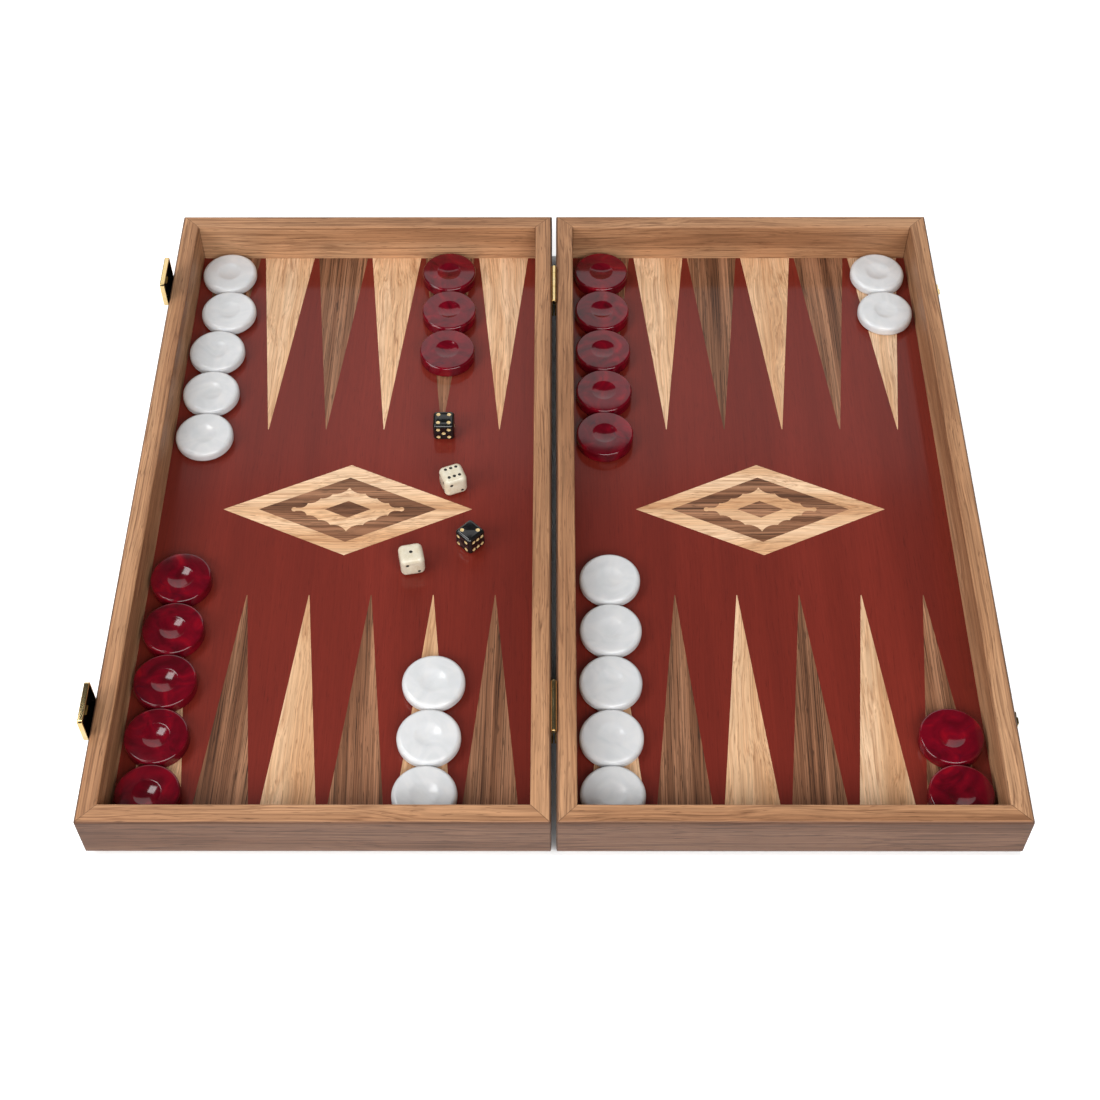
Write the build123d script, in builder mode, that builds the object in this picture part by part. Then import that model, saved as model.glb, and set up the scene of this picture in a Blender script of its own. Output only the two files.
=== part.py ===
from build123d import *
from math import hypot
import os

os.makedirs("parts", exist_ok=True)

# A folding backgammon set, open for play: two wooden trays hinged along their
# long inner sides, two pan latches on the left tray with their keepers on the
# right one, inlaid playing fields, fifteen white and fifteen red checkers in
# the opening position, and two pairs of dice.
# The origin is on the table, under the middle of the hinge line. X runs across
# the hinge line, Y along it towards the far side, Z up. Lengths in millimetres.

# ------------------------------------------------------------ driving sizes
# Trays
half_width = 259.0            # one tray, across the hinge line
half_depth = 480.0            # one tray, along the hinge line
rail_width = 11.5             # thickness of the tray walls
tray_depth = 29.6             # rim down to the playing surface
base_thickness = 6.0          # plywood base panel
field_thickness = 2.4         # board that carries the inlays
rebate_width = 2.5            # how far the base panel runs under the rails
rail_bottom_radius = 7.0      # round-over of the outer bottom edge
rail_top_radius = 2.0         # round-over of the outer rim edge
rail_lip_radius = 1.0         # round-over of the inner rim edge
corner_radius = 1.2           # outer upright corners
fold_gap = 2.8                # between the trays when open
close_gap = 0.5               # between the rims when closed

# Inlays
inlay_thickness = 0.8
points_per_row = 6
field_margin = 4.0            # from the wall to the first point's pitch cell
point_spacing = 3.3           # red strip between two point bases
point_tip_radius = 0.25
centre_band = 130.0           # between the sharp tips of the far and near rows
diamond_length = 158.0
diamond_width = 73.0
diamond_inner_length = 113.0
diamond_inner_width = 52.0
diamond_centre_length = 29.0
diamond_centre_width = 13.6
ornament_length = 71.6
ornament_width = 35.6
ornament_knob_radius = 1.7
ornament_neck_length = 6.0
ornament_neck_width = 2.4
ornament_cusps = 3            # on each slanting side
ornament_first_cusp = 0.28    # share of the slanting side before the first cusp
ornament_cusp_step = 0.215    # share of the slanting side between cusps
ornament_scallop = 0.16       # depth of a scallop as a share of its chord

# Butt hinges in the gap
hinge_length = 33.0
hinge_far_inset = 68.5        # tray end to hinge centre
hinge_near_inset = 74.0
hinge_knuckles = 5
knuckle_gap = 0.2
knuckle_clearance = 0.35      # barrel to the rounded rim edges
knuckle_wall = 0.8
bore_overrun = 0.5            # of the bore tool past each end of the barrel
pin_clearance = 0.05          # radial
pin_head = 0.5                # thickness of a hinge pin's head past the barrel
pin_head_inset = 0.2          # head inside the barrel's outline
pin_head_round = 0.4          # its rim's rounding as a share of its thickness
leaf_height = 13.0            # below the rim
leaf_clearance = 0.4          # leaf face to the middle of the gap
hinge_screw_drop = 8.6
hinge_screw_pitch = 11.5

# Screws
screw_head_radius = 1.9
screw_head_height = 0.9
screw_radius = 1.0
screw_length = 8.0
screw_slot = 0.5
screw_slot_length = 2.5       # of each arm of the cross recess
screw_slot_depth = 0.4

# Pan latches on the left tray's outer wall, keepers on the right one
latch_far_inset = 70.5
latch_near_inset = 67.5
latch_axis_out = 2.2          # hinge axis of a flap, out from the wall
latch_axis_drop = 6.3         # and below the rim
latch_knuckle_radius = 1.3
latch_pin_radius = 0.6
latch_sheet = 0.8
latch_plate_thickness = 0.6
latch_plate_width = 20.0
latch_plate_height = 11.0
latch_screw_pitch = 12.0
latch_screw_rise = 4.2        # above the bottom of the plate
latch_base_knuckle = 8.0
latch_flap_knuckle = 5.0
flap_width = 27.4
flap_top = 14.9               # above the rim when upright
flap_wall_gap = 0.4
flap_corner_radius = 1.5
flap_edge_round = 0.9         # rounding of the pan's edges as a share of its sheet
flap_lift = 0.4               # pan above its knuckles
tongue_height = 6.0           # above the rim, on the inner face of a flap
tongue_width = 6.0
tongue_wall_gap = 1.3
keeper_width = 9.0
keeper_height = 10.0
keeper_thickness = 0.8
keeper_screw_pitch = 4.6
keeper_screw_rise = 2.5       # above the bottom of the plate
keeper_rim_gap = 0.3          # plate to the rounded rim edge
catch_reach = 2.1             # out from the wall
catch_width = 4.0
catch_thickness = 0.9
catch_tongue_gap = 0.3

# Checkers and dice
checkers_per_stack = 5
checker_side_gap = 0.8        # checker to the width of a point's cell
checker_gap = 0.3             # between neighbours of a stack
checker_thickness = 8.2
white_edge_radius = 3.0
red_edge_radius = 1.5
checker_least_band = 1.0      # of straight side left between the rounded edges
dish_radius = 8.0
dish_depth = 1.4
stack_far_gap = 3.0           # far wall to the first checker
stack_near_gap = 0.5
black_die_size = 13.8
black_die_edge = 2.2          # rounding of all its edges
black_pip_radius = 1.3
black_pip_step = 0.25         # from the middle of a face, as a share of the size
ivory_die_size = 15.0
ivory_die_edge = 3.4
ivory_pip_radius = 1.1
ivory_pip_step = 0.235
pip_depth = 0.35

# The opening position: tone, tray, point from the left, row, and how far each
# checker lies off the middle of its point, from the wall inwards
stacks = (
    ("white", "left", 0, "far", (-1.8, 1.6, -2.2, -2.0, -2.0)),
    ("red", "left", 4, "far", (0.3, 1.6, 1.7)),
    ("red", "right", 0, "far", (-3.0, -2.9, -2.8, -2.8, -2.8)),
    ("white", "right", 5, "far", (0.8, 2.2)),
    ("red", "left", 0, "near", (-2.4, -2.4, -2.4, -2.4, -2.4)),
    ("white", "left", 4, "near", (1.1, 2.0, 3.3)),
    ("white", "right", 0, "near", (-2.7, -2.7, -2.5, -1.8, -1.7)),
    ("red", "right", 5, "near", (2.8, 2.1)),
)
# The dice: tone, number, place as shares of the left tray's inner width and
# depth from its middle, turn, and values on top, in front and at left
dice = (
    ("black", 1, (0.250, 0.141), 0, (4, 5, 6)),
    ("ivory", 1, (0.282, 0.040), 22, (6, 2, 4)),
    ("black", 2, (0.334, -0.060), 45, (2, 6, 4)),
    ("ivory", 2, (0.183, -0.099), 12, (1, 2, 3)),
)
# Size, edge rounding, pip radius and pip step of each tone
die_sizes = {
    "black": (black_die_size, black_die_edge, black_pip_radius, black_pip_step),
    "ivory": (ivory_die_size, ivory_die_edge, ivory_pip_radius, ivory_pip_step),
}
# Where the pips of each value sit, in steps across and up a face
pips = {
    1: ((0, 0),),
    2: ((-1, 1), (1, -1)),
    3: ((-1, 1), (0, 0), (1, -1)),
    4: ((-1, -1), (-1, 1), (1, -1), (1, 1)),
    5: ((-1, -1), (-1, 1), (0, 0), (1, -1), (1, 1)),
    6: ((-1, -1), (0, -1), (1, -1), (-1, 1), (0, 1), (1, 1)),
}

# ------------------------------------------------------------ derived sizes
field_top = base_thickness + field_thickness
rim = field_top + tray_depth
inner_width = half_width - 2 * rail_width
inner_depth = half_depth - 2 * rail_width
tray_centre = fold_gap / 2 + half_width / 2
outer_wall = fold_gap / 2 + half_width
fold_axis_z = rim + close_gap / 2
centres = {"left": -tray_centre, "right": tray_centre}
rows = {"far": 1, "near": -1}
# the rails of a tray, from the near one anticlockwise
rail_names = {
    "left": ("near", "hinge", "far", "outer"),
    "right": ("near", "outer", "far", "hinge"),
}

point_pitch = (inner_width - 2 * field_margin) / points_per_row
point_base = point_pitch - point_spacing
point_tip_y = centre_band / 2

knuckle_radius = (
    hypot(fold_gap / 2 + rail_top_radius, close_gap / 2 + rail_top_radius)
    - rail_top_radius
    - knuckle_clearance
)
pin_bore = knuckle_radius - knuckle_wall
hinge_end = (hinge_length + pin_head) / 2
leaf_top = fold_axis_z - knuckle_radius - knuckle_gap
hinge_ys = (half_depth / 2 - hinge_far_inset, hinge_near_inset - half_depth / 2)
latch_ys = {
    "far": half_depth / 2 - latch_far_inset,
    "near": latch_near_inset - half_depth / 2,
}
latch_pan_out = latch_axis_out + latch_knuckle_radius
latch_pin_bore = latch_pin_radius + pin_clearance
latch_screw_drop = latch_axis_drop + latch_plate_height - latch_screw_rise
keeper_top_drop = rail_top_radius + keeper_rim_gap
keeper_screw_drop = keeper_top_drop + keeper_height - keeper_screw_rise

checker_diameter = min(
    point_pitch - checker_side_gap,
    (inner_depth / 2 - stack_far_gap) / checkers_per_stack - checker_gap,
)
checker_radius = checker_diameter / 2


# ------------------------------------------------------------ helpers
def point_x(half, index):
    """The middle of a point, counted from the left of its tray."""
    return centres[half] + (index - (points_per_row - 1) / 2) * point_pitch


def corner(shape, x, y):
    """The vertex of a sketch that lies nearest to a place in it."""
    return shape.vertices().sort_by_distance((x, y))[0]


def finish(piece, name):
    """Label a finished piece and write it as its own STEP."""
    piece.part.label = name
    export_step(piece.part, f"parts/{name}.step")


def ball_radius(radius, depth):
    """The ball that leaves a dish of this radius and depth in a flat face."""
    return (radius**2 + depth**2) / (2 * depth)


def rhombus(length, width, mode=Mode.ADD):
    """A diamond about the origin of the sketch, long side along its X."""
    Polygon((-length / 2, 0), (0, -width / 2), (length / 2, 0), (0, width / 2), align=None, mode=mode)


# ------------------------------------------------------------ screws
def screw_places(half):
    """Where each screw of a tray sits: the middle of its head's outer face, pointing into the wood."""
    side = rows["far"] if half == "right" else rows["near"]
    leaf_x = side * leaf_clearance
    z = rim - hinge_screw_drop
    places = []
    for y in hinge_ys:
        for step in (-1, 0, 1):
            head = (leaf_x, y + step * hinge_screw_pitch, z)
            places.append(Plane(origin=head, x_dir=(0, 1, 0), z_dir=(side, 0, 0)))
    for y in latch_ys.values():
        if half == "left":
            thickness, pitch = latch_plate_thickness, latch_screw_pitch
            drop = latch_screw_drop
        else:
            thickness, pitch = keeper_thickness, keeper_screw_pitch
            drop = keeper_screw_drop
        for step in (-0.5, 0.5):
            head = (side * (outer_wall + thickness), y + step * pitch, rim - drop)
            places.append(Plane(origin=head, x_dir=(0, 1, 0), z_dir=(-side, 0, 0)))
    return places


def screw_solids(places, mode):
    """Countersunk heads and shanks at the given places, added or cut."""
    foot = (Align.CENTER, Align.CENTER, Align.MIN)
    with Locations(*places):
        Cone(screw_head_radius, screw_radius, screw_head_height, align=foot, mode=mode)
        with Locations((0, 0, screw_head_height)):
            Cylinder(screw_radius, screw_length - screw_head_height, align=foot, mode=mode)


def screws(half):
    """All wood screws of one tray, as separate solids with a cross recess in each head."""
    with BuildPart() as piece:
        screw_solids(screw_places(half), Mode.ADD)
        with Locations(*screw_places(half)):
            for turn in (0, 90):
                with Locations(Location((0, 0, 0), (0, 0, turn))):
                    Box(
                        screw_slot_length,
                        screw_slot,
                        2 * screw_slot_depth,
                        mode=Mode.SUBTRACT,
                    )
    finish(piece, f"{half}_screws")


# ------------------------------------------------------------ trays
def rail(half, side, name):
    """One mitred rail of a tray. Sides count from the near one, anticlockwise."""
    x, dx, dy = centres[half], half_width / 2, half_depth / 2
    outer = [(x - dx, -dy), (x + dx, -dy), (x + dx, dy), (x - dx, dy)]
    dx = dx - rail_width
    dy = dy - rail_width
    inner = [(x - dx, -dy), (x + dx, -dy), (x + dx, dy), (x - dx, dy)]
    start, end = Vector(*outer[side]), Vector(*outer[(side + 1) % 4])
    along = (end - start).normalized()
    inward = Vector(0, 0, 1).cross(along)
    with BuildPart() as piece:
        with BuildSketch(Plane(origin=(start + end) / 2, x_dir=inward, z_dir=along)) as profile:
            with BuildLine():
                Polyline(
                    (0, 0),
                    (rail_width - rebate_width, 0),
                    (rail_width - rebate_width, base_thickness),
                    (rail_width, base_thickness),
                    (rail_width, rim),
                    (0, rim),
                    close=True,
                )
            make_face()
            fillet(corner(profile, 0, 0), rail_bottom_radius)
            fillet(corner(profile, 0, rim), rail_top_radius)
            fillet(corner(profile, rail_width, rim), rail_lip_radius)
        extrude(amount=(end - start).length / 2, both=True)
        # the mitres, and the rounded upright corners that two rails share
        with BuildSketch():
            with Locations((x, 0)):
                RectangleRounded(half_width, half_depth, corner_radius)
            Polygon(
                outer[side],
                outer[(side + 1) % 4],
                inner[(side + 1) % 4],
                inner[side],
                align=None,
                mode=Mode.INTERSECT,
            )
        extrude(amount=rim, mode=Mode.INTERSECT)
        screw_solids(screw_places(half), Mode.SUBTRACT)
    finish(piece, name)


def base_panel(half):
    """The bottom of a tray, let into the rebates of its rails."""
    with BuildPart() as piece:
        with BuildSketch():
            with Locations((centres[half], 0)):
                Rectangle(inner_width + 2 * rebate_width, inner_depth + 2 * rebate_width)
        extrude(amount=base_thickness)
    finish(piece, f"{half}_base_panel")


# ------------------------------------------------------------ inlays
def points(half, tone):
    """The long points of one wood in one tray, on the playing surface."""
    with BuildSketch(Plane.XY.offset(field_top)) as drawn:
        for index in range(points_per_row):
            far = (index % 2 == 1) == (tone == "light")
            side = rows["far"] if far else rows["near"]
            x = point_x(half, index)
            with BuildLine():
                Polyline(
                    (x - point_base / 2, side * inner_depth / 2),
                    (x, side * point_tip_y),
                    (x + point_base / 2, side * inner_depth / 2),
                    close=True,
                )
            make_face()
            fillet(corner(drawn, x, side * point_tip_y), point_tip_radius)
    return drawn.sketch


def ornament():
    """The scalloped middle of a diamond, with a knob at each end of its long side."""
    long_half = ornament_length / 2
    wide_half = ornament_width / 2
    shares = [ornament_first_cusp + step * ornament_cusp_step for step in range(ornament_cusps)]
    neck = ornament_neck_length - long_half
    stops = [(neck, ornament_neck_width / 2)]
    stops += [(long_half * (share - 1), wide_half * share) for share in shares]
    stops += [(0, wide_half)]
    with BuildSketch() as drawn:
        with BuildLine():
            for start, end in zip(stops, stops[1:]):
                chord = hypot(end[0] - start[0], end[1] - start[1])
                SagittaArc(start, end, -ornament_scallop * chord)
            Line(stops[0], (neck, 0))
            mirror(about=Plane.XZ)
            mirror(about=Plane.YZ)
        make_face()
        knob_x = long_half - ornament_knob_radius
        Rectangle(2 * knob_x, ornament_neck_width)
        with Locations((knob_x, 0), (-knob_x, 0)):
            Circle(ornament_knob_radius)
    return drawn.sketch


def diamond(half, tone):
    """The pieces of one wood in the middle of a tray: two nested frames of each wood."""
    with BuildSketch(Plane((centres[half], 0, field_top))) as drawn:
        if tone == "light":
            rhombus(diamond_length, diamond_width)
            rhombus(diamond_inner_length, diamond_inner_width, Mode.SUBTRACT)
            add(ornament())
            rhombus(diamond_centre_length, diamond_centre_width, Mode.SUBTRACT)
        else:
            rhombus(diamond_inner_length, diamond_inner_width)
            add(ornament(), mode=Mode.SUBTRACT)
            rhombus(diamond_centre_length, diamond_centre_width)
    return drawn.sketch


def inlays(half, tone):
    """Every veneer of one wood in a tray, flush with the playing surface."""
    with BuildPart() as piece:
        extrude(points(half, tone), amount=inlay_thickness, dir=(0, 0, -1))
        extrude(diamond(half, tone), amount=inlay_thickness, dir=(0, 0, -1))
    finish(piece, f"{half}_{tone}_inlays")


def playing_field(half):
    """The red board of a tray, with pockets for its inlays."""
    with BuildPart() as piece:
        with BuildSketch(Plane.XY.offset(base_thickness)):
            with Locations((centres[half], 0)):
                Rectangle(inner_width, inner_depth)
        extrude(amount=field_thickness)
        for tone in ("light", "dark"):
            extrude(points(half, tone), amount=inlay_thickness, dir=(0, 0, -1), mode=Mode.SUBTRACT)
        with BuildSketch(Plane((centres[half], 0, field_top))):
            rhombus(diamond_length, diamond_width)
        extrude(amount=-inlay_thickness, mode=Mode.SUBTRACT)
    finish(piece, f"{half}_playing_field")


# ------------------------------------------------------------ hinges
def hinge_leaves(half):
    """One tray's leaves of both hinges: a plate on the hinge rail and every other knuckle."""
    side = rows["far"] if half == "right" else rows["near"]
    knuckle = (hinge_length - (hinge_knuckles - 1) * knuckle_gap) / hinge_knuckles
    mine = range(1 if half == "right" else 0, hinge_knuckles, 2)
    plate_x = side * (leaf_clearance + fold_gap / 2) / 2
    plate_width = fold_gap / 2 - leaf_clearance
    with BuildPart() as piece:
        for y in hinge_ys:
            with Locations((plate_x, y, rim - leaf_height)):
                Box(
                    plate_width,
                    hinge_length,
                    leaf_top - rim + leaf_height,
                    align=(Align.CENTER, Align.CENTER, Align.MIN),
                )
            for index in mine:
                middle = y - hinge_length / 2 + knuckle / 2 + index * (knuckle + knuckle_gap)
                with Locations((plate_x, middle, fold_axis_z)):
                    Box(
                        plate_width,
                        knuckle,
                        fold_axis_z - leaf_top,
                        align=(Align.CENTER, Align.CENTER, Align.MAX),
                    )
                with Locations(Location((0, middle, fold_axis_z), (90, 0, 0))):
                    Cylinder(knuckle_radius, knuckle)
        with Locations(*[Location((0, y, fold_axis_z), (90, 0, 0)) for y in hinge_ys]):
            Cylinder(pin_bore, hinge_length + 2 * bore_overrun, mode=Mode.SUBTRACT)
        screw_solids(screw_places(half), Mode.SUBTRACT)
    finish(piece, f"hinge_{half}_leaves")


def hinge_pins():
    """The pin of each hinge, with a low head at both ends."""
    head_radius = knuckle_radius - pin_head_inset
    with BuildPart() as piece:
        for y in hinge_ys:
            with Locations(Location((0, y, fold_axis_z), (90, 0, 0))):
                Cylinder(pin_bore - pin_clearance, hinge_length)
                with Locations((0, 0, hinge_end), (0, 0, -hinge_end)):
                    Cylinder(head_radius, pin_head)
        rims = piece.edges().filter_by(GeomType.CIRCLE).filter_by(lambda edge: edge.radius > pin_bore)
        fillet(rims, pin_head * pin_head_round)
    finish(piece, "hinge_pins")


# ------------------------------------------------------------ latches
def latch_plane(y, half="left"):
    """A tray's outer wall at a latch: sketch X points out of the wall, Y up from the rim."""
    side = rows["near"] if half == "left" else rows["far"]
    return Plane(origin=(side * outer_wall, y, rim), x_dir=(side, 0, 0), z_dir=(0, -side, 0))


def latch_bases():
    """The screwed plates of both latches, each with the middle knuckle of its hinge."""
    with BuildPart() as piece:
        for y in latch_ys.values():
            wall = latch_plane(y)
            with BuildSketch(wall):
                with Locations((0, -latch_axis_drop)):
                    Rectangle(latch_plate_thickness, latch_plate_height, align=(Align.MIN, Align.MAX))
            extrude(amount=latch_plate_width / 2, both=True)
            with BuildSketch(wall):
                with Locations((0, -latch_axis_drop - latch_knuckle_radius)):
                    Rectangle(latch_axis_out, latch_sheet, align=(Align.MIN, Align.MIN))
                with Locations((latch_axis_out, -latch_axis_drop)):
                    Circle(latch_knuckle_radius)
                    Circle(latch_pin_bore, mode=Mode.SUBTRACT)
            extrude(amount=latch_base_knuckle / 2, both=True)
        screw_solids(screw_places("left"), Mode.SUBTRACT)
    finish(piece, "latch_bases")


def latch_flap(place):
    """A pressed pan on two knuckles, with the tongue that hooks over the keeper's catch."""
    y = latch_ys[place]
    wall = latch_plane(y)
    pan_bottom = latch_knuckle_radius + flap_lift - latch_axis_drop
    pan_height = flap_top - pan_bottom
    with BuildPart() as piece:
        with BuildSketch(wall):
            with Locations((flap_wall_gap, pan_bottom)):
                Rectangle(latch_pan_out - flap_wall_gap, pan_height, align=(Align.MIN, Align.MIN))
        extrude(amount=flap_width / 2, both=True)
        upright = piece.edges().filter_by(Axis.X)
        fillet(upright, flap_corner_radius)
        front = piece.faces().sort_by(Axis.X)[0]
        fillet(front.edges(), latch_sheet * flap_edge_round)
        offset(amount=-latch_sheet, openings=piece.faces().sort_by(Axis.X)[-1])
        # straps from the pan down to the two knuckles, and the knuckles
        reach = (latch_base_knuckle + latch_flap_knuckle) / 2 + knuckle_gap
        for step in (-reach, reach):
            with BuildSketch(latch_plane(y + step)):
                with Locations((latch_pan_out, -latch_axis_drop)):
                    Rectangle(
                        latch_sheet,
                        pan_bottom + latch_axis_drop + latch_sheet,
                        align=(Align.MAX, Align.MIN),
                    )
                with Locations((latch_axis_out, -latch_axis_drop)):
                    Circle(latch_knuckle_radius)
                    Circle(latch_pin_bore, mode=Mode.SUBTRACT)
            extrude(amount=latch_flap_knuckle / 2, both=True)
        with BuildSketch(wall):
            with Locations((tongue_wall_gap, tongue_height)):
                Rectangle(
                    latch_pan_out - latch_sheet / 2 - tongue_wall_gap,
                    latch_sheet,
                    align=(Align.MIN, Align.MIN),
                )
        extrude(amount=tongue_width / 2, both=True)
    finish(piece, f"{place}_latch_flap")


def latch_pins():
    """The pin of each latch hinge."""
    length = latch_base_knuckle + 2 * (latch_flap_knuckle + knuckle_gap)
    with BuildPart() as piece:
        for y in latch_ys.values():
            with BuildSketch(latch_plane(y)):
                with Locations((latch_axis_out, -latch_axis_drop)):
                    Circle(latch_pin_radius)
            extrude(amount=length / 2, both=True)
    finish(piece, "latch_pins")


def latch_keepers():
    """Plates on the right tray's outer wall, each with the catch that a latch's tongue hooks over."""
    # closed, the catch stands just below the tongue, so its place comes from there
    catch_drop = tongue_height - catch_tongue_gap - close_gap
    with BuildPart() as piece:
        for y in latch_ys.values():
            wall = latch_plane(y, "right")
            with BuildSketch(wall):
                with Locations((0, -keeper_top_drop)):
                    Rectangle(keeper_thickness, keeper_height, align=(Align.MIN, Align.MAX))
            extrude(amount=keeper_width / 2, both=True)
            with BuildSketch(wall):
                with Locations((0, -catch_drop)):
                    Rectangle(catch_reach, catch_thickness, align=(Align.MIN, Align.MIN))
            extrude(amount=catch_width / 2, both=True)
        screw_solids(screw_places("right"), Mode.SUBTRACT)
    finish(piece, "latch_keepers")


# ------------------------------------------------------------ checkers and dice
def checker(tone, name, x, y):
    """A thick disc with rounded edges and a shallow dish in both faces."""
    edge = white_edge_radius if tone == "white" else red_edge_radius
    edge = min(edge, (checker_thickness - checker_least_band) / 2)
    ball = ball_radius(dish_radius, dish_depth)
    middle = field_top + checker_thickness / 2
    reach = checker_thickness / 2 + ball - dish_depth
    with BuildPart() as piece:
        with Locations((x, y, middle)):
            Cylinder(checker_radius, checker_thickness)
        fillet(piece.edges().filter_by(GeomType.CIRCLE), edge)
        with Locations((x, y, middle + reach), (x, y, middle - reach)):
            Sphere(ball, mode=Mode.SUBTRACT)
    finish(piece, name)


def checkers():
    """Every checker of the opening position, numbered by tone."""
    counts = {"white": 0, "red": 0}
    for tone, half, index, row, leans in stacks:
        side = rows[row]
        gap = stack_far_gap if row == "far" else stack_near_gap
        for step, lean in enumerate(leans):
            inset = gap + checker_radius + step * (checker_diameter + checker_gap)
            counts[tone] += 1
            name = f"{tone}_checker_{counts[tone]:02d}"
            checker(tone, name, point_x(half, index) + lean, side * (inner_depth / 2 - inset))


def die(tone, number, spot, turn, values):
    """A die with dished pips, its values given for the top, the front and the left side."""
    size, edge, pip_radius, pip_step = die_sizes[tone]
    top, front, left = values
    x = centres["left"] + spot[0] * inner_width
    y = spot[1] * inner_depth
    step = pip_step * size
    sides = (
        (top, (1, 0, 0), (0, 0, 1)),
        (7 - top, (1, 0, 0), (0, 0, -1)),
        (front, (1, 0, 0), (0, -1, 0)),
        (7 - front, (-1, 0, 0), (0, 1, 0)),
        (left, (0, -1, 0), (-1, 0, 0)),
        (7 - left, (0, 1, 0), (1, 0, 0)),
    )
    with BuildPart() as piece:
        with Locations(Location((x, y, field_top + size / 2), (0, 0, turn))):
            Box(size, size, size)
        fillet(piece.edges(), edge)
        ball = ball_radius(pip_radius, pip_depth)
        with Locations(Location((x, y, field_top + size / 2), (0, 0, turn))):
            for value, across, outward in sides:
                middle = Vector(outward) * (size / 2 + ball - pip_depth)
                with Locations(Plane(origin=middle, x_dir=across, z_dir=outward)):
                    with Locations(*[(step * a, step * b) for a, b in pips[value]]):
                        Sphere(ball, mode=Mode.SUBTRACT)
    finish(piece, f"{tone}_die_{number}")


# ------------------------------------------------------------ the set
for tray in ("left", "right"):
    for number, side_name in enumerate(rail_names[tray]):
        rail(tray, number, f"{tray}_{side_name}_rail")
    base_panel(tray)
    playing_field(tray)
    inlays(tray, "light")
    inlays(tray, "dark")
    hinge_leaves(tray)
    screws(tray)
hinge_pins()
latch_bases()
latch_pins()
latch_keepers()
for place in latch_ys:
    latch_flap(place)
checkers()
for tone, number, spot, turn, values in dice:
    die(tone, number, spot, turn, values)
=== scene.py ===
import math

import bmesh
import bpy
from mathutils import Matrix, Vector


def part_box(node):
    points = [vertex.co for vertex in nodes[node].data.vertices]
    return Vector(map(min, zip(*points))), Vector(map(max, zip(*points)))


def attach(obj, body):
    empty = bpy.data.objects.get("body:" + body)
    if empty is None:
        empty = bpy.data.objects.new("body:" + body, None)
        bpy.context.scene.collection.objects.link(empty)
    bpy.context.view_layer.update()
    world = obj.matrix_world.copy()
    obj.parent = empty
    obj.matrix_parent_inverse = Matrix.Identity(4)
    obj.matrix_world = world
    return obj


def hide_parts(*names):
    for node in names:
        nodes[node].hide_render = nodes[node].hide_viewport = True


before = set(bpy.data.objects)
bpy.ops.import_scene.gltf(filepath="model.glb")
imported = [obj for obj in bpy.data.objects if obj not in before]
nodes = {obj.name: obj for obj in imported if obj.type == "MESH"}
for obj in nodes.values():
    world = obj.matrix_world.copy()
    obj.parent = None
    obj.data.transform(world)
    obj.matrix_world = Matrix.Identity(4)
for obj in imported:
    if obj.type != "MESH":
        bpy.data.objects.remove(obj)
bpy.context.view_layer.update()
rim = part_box("left_near_rail")[1].z

# Sizes in metres, the CAD's own unless a line says otherwise
points_per_row = 6
field_margin = 0.004          # wall to the cell of the first point
diamond_zone = 0.042          # half of the band across a tray that holds its diamond
rail_round = 0.007            # of the outer bottom edge
mitre_line = (0.00010, 0.00035)  # half width of the glue line, and of it with its soft edge
outer_band = (0.0004, 0.0012)  # below the outer faces, where their grey tint fades out
low_edge_fade = 0.0006        # the same above and below the rounded bottom edge
pore_depth = 0.0002
dish_radius = 0.008
dish_depth = 0.0014
checker_looks = {             # rounding of the edge, and roll from the dish onto the flat
    "white": (0.0030, 0.0012),
    "red": (0.0014, 0.0003),
}
lip_spread = 2.2              # length of that roll as a share of its size
die_sizes = {"black": (0.0138, 0.0022), "ivory": (0.0150, 0.0034)}  # size, edge rounding
die_turns = {"black_die_1": 0, "black_die_2": 45, "ivory_die_1": 22, "ivory_die_2": 12}
flat_slack = 0.00001          # how far below a die's face its pips begin
round_slack = 0.00006         # the same where the face curves away
flap_foot = 0.0030            # from the lowest point of a flap's knuckles to its pan
flap_skin = 0.0004            # band along the pan's edges that stays bright
flap_floor = 0.0005           # the pan's inner face and its tongue lie deeper than this
flap_lip = 0.0002             # its side walls take the painted shade to this distance from the mouth
tongue_half_width = 0.0032
tongue_from, tongue_to = rim + 0.0055, rim + 0.0075
circle_steps = 128
arc_steps = 12
lip_steps = 8
crease = math.radians(32)     # edges sharper than this are shaded as corners
floor_drop = 0.0002           # keeps the floor clear of the underside


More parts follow.
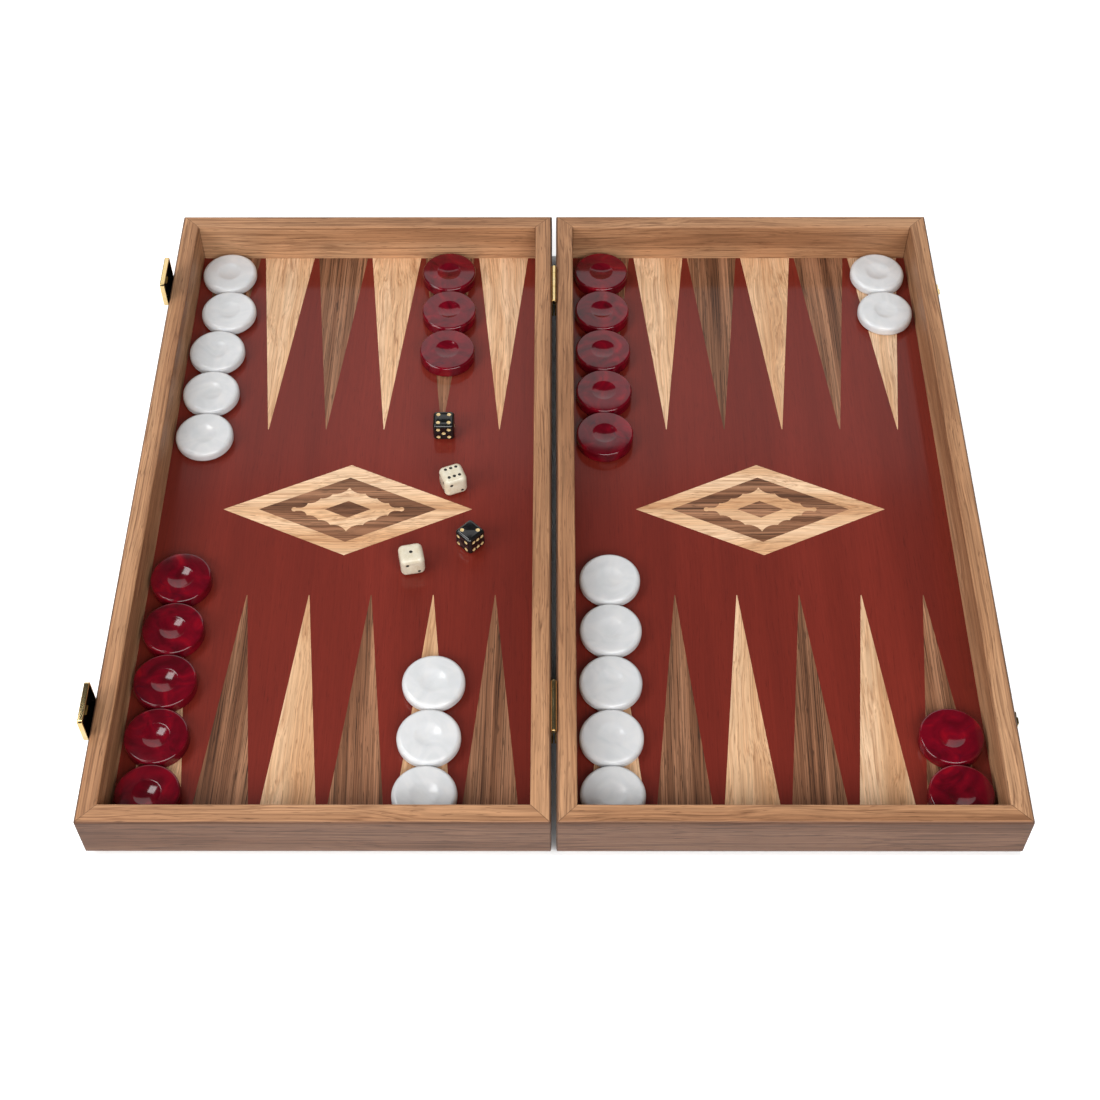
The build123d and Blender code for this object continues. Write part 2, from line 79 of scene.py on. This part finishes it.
# ------------------------------------------------------------------ node helpers
class Graph:
    """A material under construction: each method adds one node and returns its output."""

    def __init__(self, name):
        self.material = bpy.data.materials.new(name)
        self.material.use_nodes = True
        self.tree = self.material.node_tree
        self.tree.nodes.clear()
        out = self.tree.nodes.new("ShaderNodeOutputMaterial")
        self.shader = self.tree.nodes.new("ShaderNodeBsdfPrincipled")
        self.tree.links.new(self.shader.outputs[0], out.inputs[0])
        self.place = self.add("ShaderNodeTexCoord").outputs["Object"]

    def add(self, kind, inputs=None, **settings):
        node = self.tree.nodes.new(kind)
        for key, value in settings.items():
            setattr(node, key, value)
        for key, value in (inputs or {}).items():
            self.feed(node.inputs[key], value)
        return node

    def feed(self, socket, value):
        if isinstance(value, bpy.types.NodeSocket):
            self.tree.links.new(value, socket)
        else:
            socket.default_value = value

    def surface(self, **values):
        """Feeds the shader's sockets by name, with _ for a space."""
        for key, value in values.items():
            self.feed(self.shader.inputs[key.replace("_", " ")], value)

    def math(self, operation, a, b=0.0):
        return self.add("ShaderNodeMath", {0: a, 1: b}, operation=operation).outputs[0]

    def split(self, vector):
        return self.add("ShaderNodeSeparateXYZ", {0: vector}).outputs

    def join(self, x, y, z):
        return self.add("ShaderNodeCombineXYZ", {0: x, 1: y, 2: z}).outputs[0]

    def scaled(self, vector, x, y, z):
        inputs = {0: vector, 1: (x, y, z)}
        return self.add("ShaderNodeVectorMath", inputs, operation="MULTIPLY").outputs[0]

    def plus(self, a, b):
        return self.add("ShaderNodeVectorMath", {0: a, 1: b}, operation="ADD").outputs[0]

    def noise(self, vector, scale=1.0, detail=3.0, roughness=0.5, distortion=0.0):
        inputs = {"Vector": vector, "Scale": scale, "Detail": detail}
        inputs.update({"Roughness": roughness, "Distortion": distortion})
        return self.add("ShaderNodeTexNoise", inputs).outputs[0]

    def random(self, vector):
        return self.add("ShaderNodeTexWhiteNoise", {0: vector}).outputs

    def remap(self, value, low, high, to_low=0.0, to_high=1.0):
        inputs = {0: value, 1: low, 2: high, 3: to_low, 4: to_high}
        return self.add("ShaderNodeMapRange", inputs).outputs[0]

    def ramp(self, value, *stops):
        node = self.add("ShaderNodeValToRGB", {0: value})
        points = node.color_ramp.elements
        while len(points) < len(stops):
            points.new(0.5)
        for point, (position, colour) in zip(points, stops):
            point.position = position
            point.color = (*colour, 1.0)
        return node.outputs[0]

    def mix(self, share, a, b, blend="MIX"):
        node = self.add("ShaderNodeMix", data_type="RGBA", blend_type=blend)
        for socket, value in zip((node.inputs[0], node.inputs[6], node.inputs[7]), (share, a, b)):
            self.feed(socket, (*value, 1.0) if isinstance(value, tuple) else value)
        return node.outputs[2]

    def bump(self, height, strength, distance):
        inputs = {"Height": height, "Strength": strength, "Distance": distance}
        return self.add("ShaderNodeBump", inputs).outputs[0]


def srgb(red, green, blue):
    """A colour given as it looks on screen, from 0 to 255, as linear light."""
    return tuple(
        v / 12.92 if v <= 0.04045 else ((v + 0.055) / 1.055) ** 2.4
        for v in (red / 255, green / 255, blue / 255)
    )


def paint(names, material):
    for name in names:
        nodes[name].data.materials.clear()
        nodes[name].data.materials.append(material)


# ------------------------------------------------------------------ wood
def grain_space(g, along, offset=None):
    """Coordinates with the grain first, in metres."""
    place = g.place if offset is None else g.plus(g.place, offset)
    x, y, z = g.split(place)
    return g.join(x, y, z) if along == "X" else g.join(y, x, z)


def wood(g, space, dark, middle, light, line, spacing, waviness, line_share, tint=None):
    """Grained wood: soft bands, thin growth lines about spacing apart, fibres and open pores.

    The scales are in steps per metre, along the grain and twice across it.
    """
    drift = g.noise(g.scaled(space, 7.0, 28.0, 28.0), detail=2.0)
    u, v, w = g.split(space)
    shift = g.math("MULTIPLY", g.math("SUBTRACT", drift, 0.5), waviness)
    bent = g.join(u, g.math("ADD", v, shift), g.math("ADD", w, shift))
    bands = g.noise(g.scaled(bent, 2.5, 0.22 / spacing, 0.22 / spacing), detail=2.0)
    rings = g.noise(g.scaled(bent, 1.4, 0.55 / spacing, 0.55 / spacing), detail=2.0, roughness=0.6)
    streaks = g.noise(g.scaled(bent, 12.0, 1100.0, 1100.0), detail=3.0, roughness=0.6)
    fibres = g.noise(g.scaled(bent, 60.0, 2600.0, 2600.0), detail=2.0)
    pores = g.noise(g.scaled(bent, 95.0, 1500.0, 1500.0), detail=1.0)
    colour = g.ramp(bands, (0.36, dark), (0.5, middle), (0.64, light))
    # growth lines follow the level curves of the ring noise
    near_ring = g.math("PINGPONG", g.math("ADD", rings, 1.0), 0.06)
    crossing = g.remap(near_ring, 0.0, 0.030, line_share, 0.0)
    broken = g.remap(streaks, 0.30, 0.62, 1.0, 0.55)
    colour = g.mix(g.math("MULTIPLY", crossing, broken), colour, line)
    fine = g.remap(streaks, 0.32, 0.68, 0.97 - 0.34 * line_share, 1.03 + 0.24 * line_share)
    colour = g.mix(1.0, colour, g.join(fine, fine, fine), "MULTIPLY")
    silk = g.remap(fibres, 0.3, 0.7, 0.93, 1.06)
    colour = g.mix(1.0, colour, g.join(silk, silk, silk), "MULTIPLY")
    fleck = g.remap(pores, 0.64, 0.72, 0.0, 0.30 + 0.35 * line_share)
    colour = g.mix(fleck, colour, tuple(0.6 * c for c in line))
    if tint is not None:
        colour = g.mix(1.0, colour, tint, "MULTIPLY")
    relief = g.math("ADD", g.math("MULTIPLY", fibres, 0.5), g.math("MULTIPLY", fleck, -0.9))
    return colour, relief


def rail_wood(along, half):
    """Brown veneer on the rails, greyer on the outer faces, with a thin line at each mitre."""
    g = Graph(f"rail_wood_{half}_{along}")
    colour, relief = wood(
        g,
        grain_space(g, along),
        dark=srgb(150, 106, 74),
        middle=srgb(174, 128, 92),
        light=srgb(190, 145, 108),
        line=srgb(108, 68, 44),
        spacing=0.0050,
        waviness=0.012,
        line_share=0.70,
    )
    near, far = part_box(f"{half}_near_rail"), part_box(f"{half}_far_rail")
    centre = (near[0].x + near[1].x) / 2
    across = (near[1].x - near[0].x) / 2
    deep = far[1].y
    x, y, z = g.split(g.place)
    inset_x = g.math("SUBTRACT", across, g.math("ABSOLUTE", g.math("SUBTRACT", x, centre)))
    inset_y = g.math("SUBTRACT", deep, g.math("ABSOLUTE", y))
    off = g.math("ABSOLUTE", g.math("SUBTRACT", inset_x, inset_y))
    joint = g.remap(off, *mitre_line, 0.65, 0.0)
    colour = g.mix(joint, colour, srgb(58, 38, 26))
    outer = g.remap(g.math("MINIMUM", inset_x, inset_y), *outer_band, 1.0, 0.0)
    low_edge = g.remap(z, rail_round - low_edge_fade, rail_round + low_edge_fade, 1.0, 0.0)
    outer = g.math("MAXIMUM", outer, low_edge)
    greyed = g.mix(1.0, colour, (0.33, 0.315, 0.365), "MULTIPLY")
    colour = g.mix(outer, colour, greyed)
    g.surface(Base_Color=colour, Roughness=0.5, Normal=g.bump(relief, 0.16, pore_depth))
    g.surface(Specular_IOR_Level=0.25)
    return g.material


def point_offset(g, half):
    """A different piece of wood for each point and for the diamond."""
    low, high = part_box(f"{half}_playing_field")
    pitch = (high.x - low.x - 2 * field_margin) / points_per_row
    x, y, z = g.split(g.place)
    cell = g.math("FLOOR", g.math("DIVIDE", g.math("SUBTRACT", x, low.x + field_margin), pitch))
    middle = g.math("LESS_THAN", g.math("ABSOLUTE", y), diamond_zone)
    outside = g.math("SUBTRACT", 1.0, middle)
    cell = g.math("MULTIPLY", cell, outside)
    row = g.math("MULTIPLY", g.math("SIGN", y), outside)
    seed = g.join(cell, row, 3.0 if half == "left" else 5.0)
    value, colour = g.random(seed)[0], g.random(seed)[1]
    return value, colour, middle


def inlay_space(g, half):
    """Grain along the points, and along the long side of the diamond."""
    value, colour, middle = point_offset(g, half)
    place = g.plus(g.place, g.scaled(colour, 3.0, 3.0, 0.0))
    x, y, z = g.split(place)
    # the points lean a little, each its own way
    lean = g.math("MULTIPLY", g.math("SUBTRACT", value, 0.5), 0.07)
    x = g.math("ADD", x, g.math("MULTIPLY", y, lean))
    upright = g.join(y, x, z)
    lying = g.join(x, y, z)
    mixed = g.add("ShaderNodeMix", data_type="VECTOR")
    for number, fed in ((0, middle), (4, upright), (5, lying)):
        g.feed(mixed.inputs[number], fed)
    return mixed.outputs[1], value


def light_wood(half):
    g = Graph(f"light_wood_{half}")
    space, value = inlay_space(g, half)
    tone = g.remap(value, 0.0, 1.0, 0.93, 1.05)
    colour, relief = wood(
        g,
        space,
        dark=srgb(201, 154, 113),
        middle=srgb(219, 177, 137),
        light=srgb(232, 196, 160),
        line=srgb(160, 106, 66),
        spacing=0.0048,
        waviness=0.026,
        line_share=0.60,
        tint=g.join(tone, tone, tone),
    )
    g.surface(Base_Color=colour, Roughness=0.5, Normal=g.bump(relief, 0.10, pore_depth))
    g.surface(Specular_IOR_Level=0.15, Coat_Weight=0.25, Coat_Roughness=0.12)
    return g.material


def dark_wood(half):
    g = Graph(f"dark_wood_{half}")
    space, value = inlay_space(g, half)
    tone = g.remap(value, 0.0, 1.0, 0.90, 1.10)
    colour, relief = wood(
        g,
        space,
        dark=srgb(104, 67, 46),
        middle=srgb(134, 91, 65),
        light=srgb(164, 118, 88),
        line=srgb(44, 27, 19),
        spacing=0.0017,
        waviness=0.003,
        line_share=0.95,
        tint=g.join(tone, tone, tone),
    )
    g.surface(Base_Color=colour, Roughness=0.5, Normal=g.bump(relief, 0.12, pore_depth))
    g.surface(Specular_IOR_Level=0.15, Coat_Weight=0.25, Coat_Roughness=0.12)
    return g.material


def red_wood():
    g = Graph("red_wood")
    colour, relief = wood(
        g,
        grain_space(g, "Y"),
        dark=srgb(104, 31, 21),
        middle=srgb(111, 34, 23),
        light=srgb(117, 37, 26),
        line=srgb(88, 24, 17),
        spacing=0.0070,
        waviness=0.008,
        line_share=0.16,
    )
    g.surface(Base_Color=colour, Roughness=0.5, Normal=g.bump(relief, 0.07, pore_depth))
    g.surface(Specular_IOR_Level=0.15, Coat_Weight=0.35, Coat_Roughness=0.12)
    return g.material


def panel_wood():
    """The underside: plain brown plywood under a thin stain."""
    g = Graph("panel_wood")
    colour, relief = wood(
        g,
        grain_space(g, "Y", (0.31, 0.17, 0.0)),
        dark=srgb(120, 82, 56),
        middle=srgb(136, 96, 68),
        light=srgb(150, 108, 78),
        line=srgb(96, 64, 44),
        spacing=0.0080,
        waviness=0.030,
        line_share=0.40,
    )
    g.surface(Base_Color=colour, Roughness=0.60, Normal=g.bump(relief, 0.18, pore_depth))
    return g.material


# ------------------------------------------------------------------ plastics and brass
def marbled_red():
    """Crimson with wide soft swirls and a few dark seams, like cast pearl resin."""
    g = Graph("marbled_red")
    swirl = g.noise(g.place, 48.0, 2.0, 0.5, 2.0)
    veil = g.noise(g.plus(g.place, (0.3, 0.1, 0.2)), 105.0, 3.0, 0.55, 1.6)
    colour = g.ramp(
        swirl,
        (0.30, srgb(74, 2, 13)),
        (0.46, srgb(94, 2, 19)),
        (0.58, srgb(108, 3, 22)),
        (0.74, srgb(132, 5, 24)),
    )
    colour = g.mix(g.remap(veil, 0.56, 0.78, 0.0, 0.45), colour, srgb(92, 8, 30))
    seam = g.math("ABSOLUTE", g.math("SUBTRACT", g.noise(g.place, 26.0, 1.0, 0.5, 1.2), 0.5))
    broken = g.remap(g.noise(g.place, 60.0, 1.0), 0.5, 0.62)
    seam = g.math("MULTIPLY", g.remap(seam, 0.0, 0.008, 0.6, 0.0), broken)
    colour = g.mix(seam, colour, srgb(52, 6, 28))
    g.surface(Base_Color=colour, Roughness=0.11)
    g.surface(Normal=g.bump(veil, 0.02, 0.0004))
    return g.material


def pearl_white():
    """Milky white with faint grey swirls and a little light passing through."""
    g = Graph("pearl_white")
    swirl = g.noise(g.place, 50.0, 2.0, 0.5, 2.2)
    colour = g.ramp(
        swirl,
        (0.30, srgb(203, 205, 206)),
        (0.50, srgb(209, 210, 211)),
        (0.68, srgb(214, 214, 214)),
    )
    haze = g.noise(g.plus(g.place, (0.7, 0.4, 0.1)), 120.0, 3.0, 0.6, 1.0)
    g.surface(Base_Color=colour, Roughness=0.20)
    g.surface(Subsurface_Weight=0.2, Subsurface_Radius=(0.004, 0.0036, 0.003), Subsurface_Scale=0.4)
    g.surface(Normal=g.bump(haze, 0.02, 0.0004))
    return g.material


def plastic(name, colour, shade, roughness):
    """Moulded plastic with the faint mottling and tumbling marks of a die."""
    g = Graph(name)
    mottle = g.noise(g.place, 260.0, 3.0, 0.6)
    marks = g.noise(g.place, 1500.0, 2.0, 0.5)
    g.surface(Base_Color=g.mix(g.remap(mottle, 0.4, 0.7), colour, shade))
    g.surface(Roughness=g.remap(marks, 0.3, 0.7, roughness * 0.8, roughness * 1.3))
    g.surface(Normal=g.bump(marks, 0.03, 0.0001))
    return g.material


def brass(name, colour, shade, roughness):
    g = Graph(name)
    patch = g.noise(g.place, 90.0, 4.0, 0.6)
    brush = g.noise(g.scaled(g.place, 700.0, 90.0, 4200.0), 1.0, 2.0)
    g.surface(Base_Color=g.mix(g.remap(patch, 0.35, 0.7), colour, shade), Metallic=1.0)
    g.surface(Roughness=g.remap(brush, 0.3, 0.7, roughness * 0.75, roughness * 1.35))
    g.surface(Normal=g.bump(brush, 0.04, 0.0001))
    return g.material


for half in ("left", "right"):
    paint((f"{half}_near_rail", f"{half}_far_rail"), rail_wood("X", half))
    paint((f"{half}_outer_rail", f"{half}_hinge_rail"), rail_wood("Y", half))
    paint((f"{half}_light_inlays",), light_wood(half))
    paint((f"{half}_dark_inlays",), dark_wood(half))
paint(("left_playing_field", "right_playing_field"), red_wood())
paint(("left_base_panel", "right_base_panel"), panel_wood())

polished = brass("polished_brass", srgb(240, 214, 160), srgb(222, 190, 126), 0.12)
brushed = brass("brushed_brass", srgb(240, 206, 130), srgb(222, 184, 108), 0.42)
paint(("hinge_left_leaves", "hinge_right_leaves", "hinge_pins"), polished)
paint(("latch_bases", "latch_pins", "latch_keepers"), polished)
# near-black brass: painted shade and a painted dark reflection inside the latch pans
pan_shade_paint = brass("painted_shade_brass", srgb(30, 27, 24), srgb(20, 18, 17), 0.42)
paint(("left_screws", "right_screws"), polished)

red = marbled_red()
white = pearl_white()
ink = plastic("black_plastic", srgb(16, 16, 17), srgb(26, 25, 25), 0.16)
bone = plastic("ivory_plastic", srgb(214, 206, 186), srgb(206, 194, 168), 0.24)
gold = plastic("cream_paint", srgb(214, 190, 140), srgb(196, 168, 112), 0.42)
soot = plastic("black_paint", srgb(22, 20, 18), srgb(34, 30, 26), 0.42)


# ------------------------------------------------------------------ checkers
def turned(name, node, profile, material):
    """A solid turned about the upright middle of a CAD node, from its profile (radius, height)."""
    low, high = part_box(node)
    middle = (low + high) / 2
    mesh = bmesh.new()
    rings = []
    for radius, height in profile:
        if radius < 1e-9:
            rings.append([mesh.verts.new((middle.x, middle.y, low.z + height))])
            continue
        ring = []
        for step in range(circle_steps):
            angle = 2 * math.pi * step / circle_steps
            x = middle.x + radius * math.cos(angle)
            y = middle.y + radius * math.sin(angle)
            ring.append(mesh.verts.new((x, y, low.z + height)))
        rings.append(ring)
    for a, b in zip(rings, rings[1:]):
        for step in range(circle_steps):
            after = (step + 1) % circle_steps
            corners = [a[step % len(a)], a[after % len(a)], b[after % len(b)], b[step % len(b)]]
            mesh.faces.new(list(dict.fromkeys(corners)))
    bmesh.ops.recalc_face_normals(mesh, faces=mesh.faces)
    for face in mesh.faces:
        face.smooth = True
    data = bpy.data.meshes.new(name)
    mesh.to_mesh(data)
    mesh.free()
    data.materials.append(material)
    piece = bpy.data.objects.new(name, data)
    bpy.context.scene.collection.objects.link(piece)
    return piece


def checker_profile(radius, thickness, edge, lip):
    """Half a section, from the middle of the underside to the middle of the top."""
    half = thickness / 2
    ball = (dish_radius**2 + dish_depth**2) / (2 * dish_depth)
    top = []
    for step in range(arc_steps + 1):
        r = (dish_radius - lip) * step / arc_steps
        top.append((r, half - dish_depth + ball - math.sqrt(ball**2 - r**2)))
    # the lip rolls from the dish onto the flat
    start = top[-1][1]
    for step in range(1, lip_steps + 1):
        t = step / lip_steps
        rise = (half - start) * (2 * t - t * t)
        top.append((dish_radius - lip + lip_spread * lip * t, start + rise))
    for step in range(arc_steps + 1):
        angle = math.pi / 2 * (1 - step / arc_steps)
        top.append((radius - edge + edge * math.cos(angle), half - edge + edge * math.sin(angle)))
    return [(r, half - z) for r, z in top] + [(r, half + z) for r, z in reversed(top)]


for tone, material, look in (("white", white, "pearl_white"), ("red", red, "marbled_red")):
    for number in range(1, 16):
        node = f"{tone}_checker_{number:02d}"
        low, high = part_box(node)
        profile = checker_profile((high.x - low.x) / 2, high.z - low.z, *checker_looks[tone])
        piece = turned(f"{tone}_disc_{number:02d}", node, profile, material)
        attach(piece, node)
        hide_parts(node)


# ------------------------------------------------------------------ dice and latch flaps
def refinished(name, node, body, materials, choose):
    """A copy of a CAD node's mesh whose faces take their finish from choose(middle, normal)."""
    mesh = bmesh.new()
    mesh.from_mesh(nodes[node].data)
    bmesh.ops.remove_doubles(mesh, verts=mesh.verts, dist=1e-6)
    bmesh.ops.recalc_face_normals(mesh, faces=mesh.faces)
    for face in mesh.faces:
        face.material_index = choose(face.calc_center_median(), face.normal)
        face.smooth = True
    for edge in mesh.edges:
        if len(edge.link_faces) == 2 and edge.calc_face_angle() > crease:
            edge.smooth = False
    data = bpy.data.meshes.new(name)
    mesh.to_mesh(data)
    mesh.free()
    for material in materials:
        data.materials.append(material)
    piece = bpy.data.objects.new(name, data)
    bpy.context.scene.collection.objects.link(piece)
    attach(piece, body)
    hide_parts(node)
    return piece


def die_finish(node, turn, size, edge):
    """The pips are the faces sunk below the flats of a die."""
    low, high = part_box(node)
    middle = (low + high) / 2
    spin = Matrix.Rotation(-math.radians(turn), 3, "Z")

    def choose(place, normal):
        local = spin @ (place - middle)
        beyond = [abs(c) - (size / 2 - edge) for c in local]
        outside = Vector([max(c, 0.0) for c in beyond]).length + min(max(beyond), 0.0)
        slack = flat_slack if sorted(beyond)[1] < 0 else round_slack
        return 1 if outside < edge - slack else 0

    return choose


for node, turn in die_turns.items():
    tone = node.split("_")[0]
    paints = (ink, gold) if tone == "black" else (bone, soot)
    cube = refinished(f"{node}_body", node, node, paints, die_finish(node, turn, *die_sizes[tone]))


def flap_finish(node):
    """The pan's inside is painted near black as painted shade and a painted dark reflection, its
    outside stays polished and its tongue is brushed.
    """
    low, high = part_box(node)
    middle = (low.y + high.y) / 2
    half_width = (high.y - low.y) / 2
    pan = low.z + flap_foot
    mouth = high.x

    def choose(place, normal):
        across = abs(place.y - middle)
        off_mouth = mouth - place.x
        on_tongue = across < tongue_half_width and tongue_from < place.z < tongue_to
        if on_tongue and off_mouth > flap_floor:
            return 2
        # index 1 paints shade and a dark reflection on the pan's inner face and side walls
        if normal.x > 0.5:
            return 1 if place.z > pan and off_mouth > flap_floor else 0
        walls = across < half_width - flap_skin and pan + flap_skin < place.z < high.z - flap_skin
        return 1 if walls and off_mouth > flap_lip and normal.x > -0.5 else 0

    return choose


for node, body in (("far_latch_flap", "far_latch"), ("near_latch_flap", "near_latch")):
    pan = refinished(f"{node}_pan", node, body, (polished, pan_shade_paint, brushed), flap_finish(node))

# ------------------------------------------------------------------ floor, light, camera
floor = bpy.data.meshes.new("floor")
floor.from_pydata([(-6, -6, 0), (6, -6, 0), (6, 6, 0), (-6, 6, 0)], [], [(0, 1, 2, 3)])
floor_piece = bpy.data.objects.new("floor", floor)
bpy.context.scene.collection.objects.link(floor_piece)
floor_piece.location.z = -floor_drop
g = Graph("floor_paper")
g.surface(Base_Color=(0.93, 0.93, 0.93, 1.0), Roughness=0.9, Specular_IOR_Level=0.1)
# the sweep glows a little, except under the board
seen = g.add("ShaderNodeLightPath").outputs["Is Camera Ray"]
x, y, z = g.split(g.place)
clear_x = g.math("GREATER_THAN", g.math("ABSOLUTE", x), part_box("right_outer_rail")[1].x)
clear_y = g.math("GREATER_THAN", g.math("ABSOLUTE", y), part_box("right_far_rail")[1].y)
glow = g.math("MULTIPLY", g.remap(seen, 0.0, 1.0, 0.18, 0.55), g.math("MAXIMUM", clear_x, clear_y))
g.surface(Emission_Color=(1.0, 1.0, 1.0, 1.0), Emission_Strength=glow)
floor.materials.append(g.material)

world = bpy.data.worlds.new("studio")
bpy.context.scene.world = world
world.use_nodes = True
# dim to the object, so that glossy faces keep their depth, and pale to the camera
backdrop = world.node_tree.nodes["Background"]
backdrop.inputs[0].default_value = (1.0, 1.0, 1.0, 1.0)
seen = world.node_tree.nodes.new("ShaderNodeLightPath").outputs["Is Camera Ray"]
level = world.node_tree.nodes.new("ShaderNodeMapRange")
level.inputs[3].default_value = 0.06
level.inputs[4].default_value = 0.85
world.node_tree.links.new(seen, level.inputs[0])
world.node_tree.links.new(level.outputs[0], backdrop.inputs[1])


def softbox(name, place, target, width, height, watts):
    light = bpy.data.lights.new(name, "AREA")
    light.shape = "RECTANGLE"
    light.size = width
    light.size_y = height
    light.energy = watts
    lamp = bpy.data.objects.new(name, light)
    bpy.context.scene.collection.objects.link(lamp)
    lamp.location = place
    lamp.rotation_euler = (Vector(target) - Vector(place)).to_track_quat("-Z", "Y").to_euler()
    return lamp


softbox("key", (-1.12, 0.45, 1.89), (0, 0, 0), 0.7, 0.7, 11)
softbox("left_fill", (-1.7, -1.0, 1.3), (0, 0, 0), 1.4, 1.2, 34)
softbox("front", (0.5, -1.7, 1.55), (0, 0, 0), 2.4, 1.2, 54)
softbox("backdrop", (0, 2.05, 1.30), (0, 0.0, 1.2), 2.8, 2.2, 21)

view = bpy.context.scene.view_settings
view.view_transform = "Standard"
view.look = "None"
view.exposure = 0.0

camera = bpy.data.cameras.new("camera")
camera.sensor_fit = "HORIZONTAL"
camera.sensor_width = 36.0
camera.lens = 58.369
camera.clip_end = 50
lens = bpy.data.objects.new("camera", camera)
bpy.context.scene.collection.objects.link(lens)
# place and angles solved from the tray corners in the photograph
pitch, yaw, roll = (math.radians(a) for a in (52.79, 0.256, -0.203))
aim = Matrix.Rotation(yaw, 4, "Z") @ Matrix.Rotation(math.pi / 2 - pitch, 4, "X")
aim = aim @ Matrix.Rotation(roll, 4, "Z")
lens.matrix_world = Matrix.Translation((0.00055, -0.7054, 0.8566 + rim)) @ aim
bpy.context.scene.camera = lens
